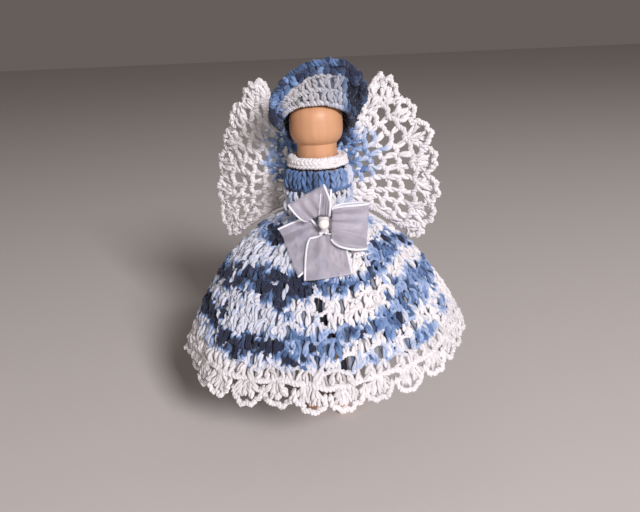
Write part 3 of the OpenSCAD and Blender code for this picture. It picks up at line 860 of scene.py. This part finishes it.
def wing_piece(name, body, surface):
    """Rows of an open net from the seam outwards and a row of scallops along the rim."""
    yarn = Yarn()
    for i, count in enumerate(wing_counts):
        v0, v1 = wing_rows[i], wing_rows[i + 1]
        shift = 0.5 / count if i % 2 else 0.0
        many = 2 if i < paired_rows else 1
        base, top = fans(
            shift, 1.0 - shift, count - i % 2, many, v0 - 0.012, v1 - 0.002, 1.0, jitter=0.13
        )
        dye = surface.dye(*reach_of(base, top, near_points))
        posts(yarn, surface, base, top, dye, radius=0.52, stray=0.3)
        u = np.linspace(0, 1, count * 30)
        v = v1 + 0.014 * cos(TAU * count * (u - shift))
        dye = runs(surface.dye(u, v), 7)
        round_edge(yarn, surface, u, v, count * 2.2, dye, push=0.2, radius=0.48, stray=0.3)
    v0 = wing_rows[-2] + 0.01
    width = 1 / wing_scallops
    centre = width * (np.arange(wing_scallops) + 0.5)
    deep = wing_rows[-1] - v0
    scallop_fans(yarn, surface, centre, width, v0, deep, wing_fan, **wing_scallop)
    t = np.linspace(-1, 1, 45)
    for c in centre:
        wobble = rng.normal(0, 1, 3)
        loops_out = np.abs(sin(2.0 * np.pi * (t + 1) + 0.2 * wobble[0]))
        u = np.clip(c + width * (0.49 * spread_sides(t) + 0.02 * wobble[1]), 0, 1)
        v = v0 + deep * np.sqrt(np.clip(1 - (0.9 * t) ** 2, 0, 1)) + 0.028 * loops_out
        path, out = surface(u[None], v[None], -yarn_t / 2 + 0.2 + 0.3 * wobble[2])
        yarn.rope(path + wander(1, len(t), 0.25, knots=9), out, 0.48, 0.42, 9, 0.0)
    for u_edge in (0.0, 1.0):
        v = np.linspace(0.02, wing_rows[-2], 70)
        u = np.full(70, u_edge)
        round_edge(yarn, surface, u, v, 14, runs(surface.dye(u, v), 7), radius=0.52, stray=0.2)
    wing = yarn.piece(name, None, "cream_yarn", body)
    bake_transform(wing)


def wing_middle():
    """The gathered middle of the wings and the stitches that hold it."""
    yarn = Yarn()
    z = np.linspace(root_low + 0.8, root_top - 0.8, 46)
    for x in np.linspace(-1, 1, 4) * (hinge_x - 0.9):
        path = at(x, wing_y, z)[None]
        yarn.rope(path, forwards, 0.55, 0.5, 7, 0.0)
    yarn.piece("wing_gather", "dress", "cream_yarn", "wing_center")
    stitch = Yarn()
    x = np.linspace(-1, 1, 11)
    for i in range(1, 4):
        height = lerp(root_low, root_top, i / 4)
        y = wing_y + yarn_t / 2 + 0.55 - 0.35 * x**2
        path = at(x * hinge_x / 1.7, y, height + 0.3 * x)[None]
        stitch.rope(path, -forwards, 0.3, 0.27, 1.5, 0.0)
    stitch.piece("wing_stitch_threads", "dress", "cream_yarn", "wing_stitches")


# The bonnet

bonnet_t = 2.1
tilt = np.radians(40)
head_reach = 7.77
bonnet_gap = 0.4
bonnet_in = head_reach + bonnet_gap
bonnet_back = 1.0
bonnet_flat_w = 2.0
brim_r, brim_h, brim_z, brim_x = 12.6, 11.0, 95.8, 0.8
brim_slope = 0.17
brim_lean = 0.37
edging_w = 4.0
edging_least_share = 0.45
ruffle_depth, ruffle_count, ruffle_start = 0.8, 8, 3
rim_angles = np.radians([-2, 202])
face_angles = np.radians([-10, 190])
brim_forward = 0.9
face_up = np.array([0, -sin(tilt), cos(tilt)])
face_back = np.array([0, cos(tilt), sin(tilt)])
head_middle = np.array([0, 0, head_z])
crown_r = bonnet_in + bonnet_t
crown_len = crown_r * np.arccos(bonnet_back / crown_r)
crown_counts = [8, 15, 21, 26]
brim_count, brim_twists, edging_count = 24, 26, 26


def ray(angle):
    """The direction from the middle of the head at an angle round the face."""
    return cos(angle)[..., None] * across + sin(angle)[..., None] * face_up


def aside(u):
    """How far the bonnet's halves stand to the side, at each angle round the face."""
    return bonnet_flat_w / 2 * np.clip(3 * cos(u), -1, 1)


def crown(u, v, w):
    """Most of half a ball round the back of the head: u runs round the face opening, v is the
    distance from the middle of its back, and w points outwards."""
    u, v, w = alike(u, v, w)
    bend = v / crown_r
    out = sin(bend)[..., None] * ray(u) + cos(bend)[..., None] * face_back
    shift = aside(u) * smooth(2 * sin(bend))
    return head_middle + (crown_r + w)[..., None] * out + shift[..., None] * across, out


def brim_middle(u, v):
    """The upright brim: u runs from one side of the face to the other and v from the crown to
    the rim, both 0 to 1."""
    a = lerp(*face_angles, u)
    ahead = bonnet_t / 2 + seam_gap - bonnet_back + brim_forward * np.maximum(0, sin(a))
    foot = head_middle + (bonnet_in + bonnet_t / 2) * ray(a)
    foot = foot + aside(a)[..., None] * across - ahead[..., None] * face_back
    b = lerp(*rim_angles, u)
    z = brim_z + brim_h * sin(b) + brim_slope * brim_r * cos(b)
    y = -bonnet_t - brim_lean * (z - head_z + bonnet_t)
    rim = at(brim_x + brim_r * cos(b), y, z)
    place = foot + (rim - foot) * v[..., None]
    wave = ruffle_depth * np.clip(v, 0, 1.1) ** ruffle_start * cos(TAU * ruffle_count * u)
    return place - wave[..., None] * forwards


def brim(u, v, w):
    u, v, w = alike(u, v, w)
    du = brim_middle(u + 0.01, v) - brim_middle(u - 0.01, v)
    dv = brim_middle(u, v + 0.05) - brim_middle(u, v - 0.05)
    out = unit(np.cross(du, dv))
    out = out * np.where(out[..., 1:2] > 0, -1, 1)
    return brim_middle(u, v) + (w + yarn_t / 2)[..., None] * out, out


def edging_start(u):
    """Where the edging starts, as a share of the brim's width there."""
    across_brim = brim_middle(u, np.ones_like(u)) - brim_middle(u, np.zeros_like(u))
    width = np.linalg.norm(across_brim, axis=-1)
    return np.maximum(edging_least_share, 1 - edging_w / width)


def crown_dye(u):
    """The bonnet's blue: deeper at its sides."""
    dye = 0.62 + 0.14 * sin(5 * np.asarray(u) + 1.0) + 0.2 * smooth(-sin(u))
    return dye * rng.uniform(0.8, 1.2, np.shape(dye))


def brim_dye(u):
    """Nearly undyed in the middle and darkest beside the face."""
    stops = [0, 0.22, 0.29, 0.6, 0.68, 0.76, 0.84, 1]
    depth = [1.0, 0.96, 0.1, 0.0, 0.03, 0.2, 0.9, 1.0]
    return np.interp(u, stops, depth) * rng.uniform(0.6, 1.4, np.shape(u)) + 0.03


def edging_dye(u):
    """The round along the rim, from right to left: dark at both ends and at the upper right."""
    stops = [0, 0.1, 0.2, 0.27, 0.33, 0.42, 0.5, 0.6, 0.75, 0.88, 0.94, 1]
    depth = [1.0, 1.0, 1.0, 0.9, 0.8, 0.66, 0.84, 0.74, 0.66, 0.8, 1.0, 1.0]
    return np.interp(u, stops, depth) * rng.uniform(0.7, 1.2, np.shape(u))


def crown_piece():
    """Rounds of tall stitches from the middle of the back outwards, and their chains."""
    yarn = Yarn()
    rows = np.linspace(1.2, crown_len - 0.4, len(crown_counts) + 1)
    for i, count in enumerate(crown_counts):
        a = ring(count, shift=0.5 * (i % 2))
        base = at(a, rows[i])
        top = at(a + rng.normal(0, 0.02, count), rows[i + 1])
        posts(
            yarn, crown, base, top, crown_dye(a)[:, None],
            height=8, bulge=0.2, radius=0.52, stray=0.1,
        )
        # Painted shade: the far strands are dyed deeper than most stitches and toned down.
        backing(yarn, crown, base, top, 0.85, TAU / count / 2, radius=0.55, deep=0.35)
        u = ring(int(TAU * crown_r * sin(rows[i + 1] / crown_r) / 0.45))
        dye = runs(crown_dye(u), 6)
        round_edge(yarn, crown, u, rows[i + 1], count, dye, closed=True, push=0.25, radius=0.48)
    for v in (0.9, 0.35):
        round_edge(yarn, crown, ring(16), v, 5, 0.6, closed=True, push=0.3, radius=0.5, stray=0.0)
    yarn.piece("bonnet_crown_rounds", "bonnet", "blue_yarn", "bonnet_crown")


def brim_piece():
    """Two rows of stitches from the crown out, and the chains under and over them, all with low
    tones as painted shade on the brim's inner face, the far strands lowest.
    """
    yarn = Yarn()
    u = (np.arange(brim_count) + 0.5) / brim_count
    between = [0.5 / brim_count, 0]
    start = edging_start(u)
    a = np.linspace(0, 1, 150)
    for i in range(2):
        v0, v1 = start * i / 2, start * (i + 1) / 2
        shift = rng.normal(0, 0.006, brim_count)
        base, top = at(u, v0 + 0.01), at(u + shift, v1 - 0.01)
        # Painted shade: the low tones below darken the brim's inner face, the far strands most.
        posts(
            yarn, brim, base, top, brim_dye(u)[:, None],
            bulge=0.2, radius=0.45, stray=0.28, tone_and_shade=-6.5,
        )
        backing(
            yarn, brim, base[:-1] + between, top[:-1] + between, 0.3,
            radius=0.5, deep=0.3, tone_and_shade=-12.5,
        )
        v = edging_start(a) * (i + 1) / 2
        round_edge(
            yarn, brim, a, v, brim_twists, runs(brim_dye(a), 6),
            push=0.1, radius=0.42, stray=0.2, tone_and_shade=-6.0,
        )
    round_edge(yarn, brim, a, 0.0, brim_twists, runs(brim_dye(a), 6), radius=0.5, tone_and_shade=-4.0)
    yarn.piece("bonnet_brim_rounds", "bonnet", "cream_yarn", "bonnet_brim")


def edging_piece():
    """The round of stitches along the rim and the two twisted chains at its edge."""
    yarn = Yarn()
    u = (np.arange(edging_count) + 0.5) / edging_count
    between = [0.5 / edging_count, 0]
    base = at(u, edging_start(u) + 0.02)
    top = at(u + rng.normal(0, 0.006, edging_count), 0.93)
    posts(yarn, brim, base, top, edging_dye(u)[:, None], bulge=0.3, radius=0.56, stray=0.18)
    # Painted shade: the far strands are dyed near the darkest blue and toned down.
    backing(yarn, brim, base[:-1] + between, top[:-1] + between, 0.95, radius=0.5, deep=0.3)
    a = np.linspace(0, 1, 240)
    dye = runs(edging_dye(a), 7)
    wave = 0.02 * cos(TAU * 13 * a)
    for v, turns, push in ((0.95, 30, 0.4), (0.92, -30, -0.4)):
        round_edge(yarn, brim, a, v + wave, turns, dye, push=push, radius=0.54, stray=0.18)
    yarn.piece("bonnet_edging_round", "bonnet", "blue_yarn", "bonnet_edging")


# Ribbon, thread and bead

ribbon_w, ribbon_t = 12.7, 0.16
bow_x, bow_z = 0.9, 65.2
knot_r, knot_h = 1.5, 3.0
loop_pouf = 3.0
bow_lean = 0.2
tail_gap, loop_gap = 0.6, 2.4
loop_spread, tail_spread = 0.2, 0.16
# Degrees round the knot, length, share of the ribbon's width and, for a tail, how far it lifts
loops = [(119, 6.8, 0.86), (84, 7.4, 0.2), (-5, 10.0, 0.92)]
tails = [(208, 9.5, 0.86, 0.0), (273, 8.6, 0.96, 0.7)]
full_share = 0.8
pleat_most = 0.6
edge_r = 0.3
winding_turns, winding_r, thread_r = 5, 1.15, 0.33


def bell_r(z):
    """The skirt's radius at each height."""
    return np.interp(-z, -bell.line[:, 1], bell.line[:, 0])


bow_r = float(bell_r(bow_z - knot_h / 2))
knot_y = -(bow_r + move_gap + knot_r)


def bow_y(x, z, gap):
    """Where the ribbon lies in front of the dress at each place."""
    r = np.maximum(bow_r, np.sqrt(np.maximum(0, bell_r(z) ** 2 - x**2)))
    return -(r + gap) - bow_lean * np.maximum(0, z - bow_z)


def ribbon_mesh(grids):
    """Strips of ribbon from grids of points: their points, faces, edge lines and length."""
    points, faces, edges = [], [], []
    start, length = 0, 0.0
    for grid in grids:
        rows, cols, _ = grid.shape
        index = np.arange(rows * cols).reshape(rows, cols) + start
        quads = np.stack([index[:-1, :-1], index[:-1, 1:], index[1:, 1:], index[1:, :-1]], -1)
        faces += quads.reshape(-1, 4).tolist()
        points.append(grid.reshape(-1, 3))
        start += rows * cols
        edges += [grid[:, 0], grid[:, -1]]
        length += float(np.sum(np.linalg.norm(np.diff(grid[:, cols // 2], axis=0), axis=-1)))
    return np.concatenate(points), faces, edges, length


def pleats(width, share, side):
    """Folds across a ribbon held narrower than its own width, as deep as its width allows."""
    full = ribbon_w * np.maximum(share, full_share)
    deep = np.sqrt(np.maximum(0, full**2 - width**2)) / 18 * np.minimum(1, width / 5)
    return np.minimum(deep, pleat_most) * cos(3.5 * np.pi * side + 0.8 * side**2)


def ribbon_place(angle, along, beside, z):
    """The x and z of places along and beside a ribbon that leaves the knot at an angle."""
    c, s = cos(angle), sin(angle)
    return bow_x + along * c - beside * s, z + along * s + beside * c


def loop_grid(angle, length, share):
    """One loop: out from the knot, round and back, pleated where the thread holds it."""
    angle = np.radians(angle)
    q = np.linspace(0.06, 0.94, 44)[:, None]
    side = np.linspace(-1, 1, 55)[None]
    out = length * (1 - cos(TAU * q)) / 2
    depth = -loop_pouf / 2 * sin(TAU * q)
    width = lerp(knot_h, ribbon_w * share, np.power(out / length, loop_spread))
    swell = 0.5 * (1 - side**2) * sin(np.pi * out / length / 1.2)
    start = knot_r * abs(cos(angle)) + knot_h / 2 * abs(sin(angle)) + seam_gap
    along = start + out + 0.5 * swell
    x, z = ribbon_place(angle, along, side * width / 2, bow_z)
    creases = 0.18 * sin(2.4 * side + 5 * q + angle) * sin(np.pi * out / length)
    y = bow_y(x, z, loop_gap) + depth + pleats(width, share, side) + creases
    return at(x, y, z)


def tail_grid(angle, length, share, lift):
    """One tail, from the knot down over the skirt to its straight cut end."""
    angle = np.radians(angle)
    t = np.linspace(0, 1, 30)[:, None]
    side = np.linspace(-1, 1, 55)[None]
    along = knot_r + seam_gap + length * t
    width = lerp(knot_h / 2, ribbon_w * share, np.power(t, tail_spread))
    x, z = ribbon_place(angle, along, side * width / 2, bow_z - knot_h / 2)
    wave = 0.25 * t * sin(3.0 * side + 4 * t)
    y = bow_y(x, z, tail_gap + lift) + pleats(width, share, side) - 0.3 - wave
    return at(x, y, z)


def bow_pieces():
    """The loops and the tails: sheets of sheer ribbon with their satin edges."""
    satin = satin_material()
    sheer = organza_material()
    for name, node, grids in (
        ("bow_loop_ribbon", "bow_loops", [loop_grid(*row) for row in loops]),
        ("bow_tail_ribbon", "bow_tails", [tail_grid(*row) for row in tails]),
    ):
        points, faces, lines, length = ribbon_mesh(grids)
        piece = mesh_piece(name, points, faces, "dress", "organza", node)
        piece.data.materials.append(sheer)
        thick = piece.modifiers.new("thickness", "SOLIDIFY")
        thick.thickness = ribbon_t * MM
        thick.offset = 0
        edge = Yarn()
        edge.ply_depth = 0.05
        for line in lines:
            edge.tubes(line[None], forwards, edge_r, 0.0, taper=False)
        points = np.concatenate(edge.points)
        edges = mesh_piece(name + "_edges", points, edge.faces, "dress", "organza")
        edges.data.materials.append(satin)


def bow_winding():
    """The thread wound round the gathered ribbon."""
    yarn = Yarn()
    t = np.linspace(0, 1, 22 * winding_turns)
    a = TAU * winding_turns * t
    z = bow_z - knot_h / 2 + 0.3 + (knot_h - 0.6) * t
    path = at(bow_x + winding_r * cos(a), knot_y + winding_r * sin(a), z)[None]
    out = at(cos(a), sin(a), 0)[None]
    yarn.tubes(path, out, thread_r, 0.0)
    height = np.linspace(-1, 1, 8) * (knot_h / 2 - 0.1) + bow_z
    core = at(bow_x, knot_y, height)[None]
    yarn.tubes(core, across, 1.0, 0.0)
    yarn.piece("bow_winding", "dress", "sewing_thread", "bow_thread")


# Light, floor and camera: metres and watts, but the camera's place is in millimetres

floor_half, floor_rough = 3.0, 0.7
floor_colour = (0.74, 0.70, 0.67, 1)
lit_place = np.array([0, 0, 0.06])
key_light = dict(place=(0.40, -0.90, 0.56), size=0.26, power=13.2, colour=(0.99, 0.95, 0.98))
fill_light = dict(place=(-0.22, -0.6, 0.10), size=0.4, power=0.45, colour=(1.0, 0.92, 0.88))
studio_colour, studio_strength = (0.92, 0.80, 0.76, 1), 0.14
camera_place = (-0.5, -192.2, 114.0)
camera_pitch, camera_roll = np.radians(18.3), np.radians(-2.5)
focal_px, picture_w_px = 680, 640
sensor_w, clip_near = 36, 0.01


def stand(name, data, axes, place):
    """A light or camera in the scene, from its three axes and its place in metres."""
    obj = add_object(name, data)
    turned = np.stack(axes, 1).tolist()
    obj.matrix_world = Matrix([[*row, p] for row, p in zip(turned, place)] + [[0, 0, 0, 1]])
    return obj


def light(name, place, size, power, colour):
    """A square light that faces the middle of the doll."""
    data = bpy.data.lights.new(name, "AREA")
    data.size = size
    data.energy = power
    data.color = colour
    place = np.array(place, float)
    z = unit(place - lit_place)
    x = unit(np.cross([0, 0, 1.0], z))
    stand(name, data, [x, np.cross(z, x), z], place)


def stage():
    """A pale floor and plain light, brighter from the right."""
    mesh = bpy.data.meshes.new("floor")
    s = floor_half
    mesh.from_pydata([(-s, -s, 0), (s, -s, 0), (s, s, 0), (-s, s, 0)], [], [(0, 1, 2, 3)])
    floor = add_object("floor", mesh)
    look = Look("floor", {"Base Color": floor_colour, "Roughness": floor_rough})
    floor.data.materials.append(look.material)
    light("key", **key_light)
    light("fill", **fill_light)
    world = bpy.data.worlds.new("studio")
    world.use_nodes = True
    around = world.node_tree.nodes["Background"].inputs
    around["Color"].default_value = studio_colour
    around["Strength"].default_value = studio_strength
    bpy.context.scene.world = world
    bpy.context.scene.view_settings.view_transform = "Standard"


def camera():
    """The photograph's camera: where it stood, how far it looked down and its slight roll."""
    ahead = np.array([0, cos(camera_pitch), -sin(camera_pitch)])
    right = across
    up = np.cross(right, ahead)
    x = right * cos(camera_roll) + up * sin(camera_roll)
    y = -right * sin(camera_roll) + up * cos(camera_roll)
    data = bpy.data.cameras.new("camera")
    data.sensor_width = sensor_w
    data.lens = sensor_w * focal_px / picture_w_px
    data.clip_start = clip_near
    place = np.array(camera_place) * MM
    bpy.context.scene.camera = stand("camera", data, [x, y, -ahead], place)


def coat(node, finish):
    """A new finish on a part that keeps its solid's own mesh."""
    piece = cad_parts[node]
    piece.data.materials.clear()
    piece.data.materials.append(finish)


stage()
camera()
coat("clothespin", wood_material())
coat("pearl_bead", pearl_material())
skirt_piece("skirt_top_rounds", range(0, 4), "skirt")
skirt_piece("skirt_upper_rounds", range(4, 7))
skirt_piece("skirt_middle_rounds", range(7, 10))
skirt_piece("skirt_lower_rounds", range(10, 12))
skirt_piece("skirt_last_rounds", range(12, skirt_rounds))
hem_lace()
collar_piece()
yoke_piece()
wing_piece("wing_left_net", "wing_left", Wing(-1, rim_left_shares, *curl_left))
wing_piece("wing_right_net", "wing_right", Wing(1, rim_right_shares, *curl_right))
wing_middle()
crown_piece()
brim_piece()
edging_piece()
bow_pieces()
bow_winding()
